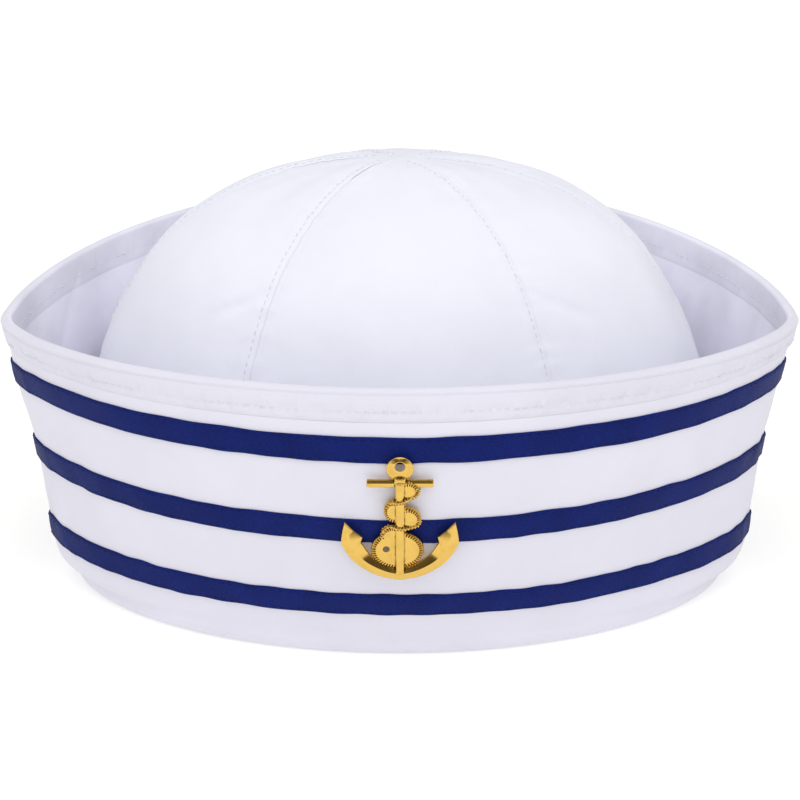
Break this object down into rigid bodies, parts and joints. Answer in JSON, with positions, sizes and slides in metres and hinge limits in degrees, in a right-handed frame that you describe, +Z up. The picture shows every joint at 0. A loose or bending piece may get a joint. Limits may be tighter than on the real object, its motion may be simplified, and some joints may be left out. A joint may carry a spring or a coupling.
{
  "type": "sailor cap",
  "caption": "White cloth sailor cap with a gored dome crown, tall turned-up cuff with a hemmed rim, navy ribbons round the cuff and a gilt fouled anchor pinned in front",
  "frame": {"origin": "middle of the whole cap's box, on the surface that the cap rests on", "axes": "+X to the viewer's right as the badge is seen, -Y out of the front of the cap where the badge is, +Z up"},
  "size_m": [0.2558, 0.22, 0.1365],
  "materials": {
    "white_cloth": "plain-weave white cotton, matt",
    "navy_ribbon": "woven navy ribbon with a slight sheen",
    "gilt_metal": "polished gilt casting"
  },
  "bodies": {
    "root": {"crown_panel_1": "white_cloth", "crown_panel_2": "white_cloth", "crown_panel_3": "white_cloth", "crown_panel_4": "white_cloth", "crown_panel_5": "white_cloth", "crown_panel_6": "white_cloth", "cuff": "white_cloth", "rim_hem": "white_cloth", "ribbon_upper": "navy_ribbon", "ribbon_middle": "navy_ribbon", "ribbon_lower": "navy_ribbon", "anchor_badge": "gilt_metal", "badge_pin": "gilt_metal"}
  },
  "joints": []
}
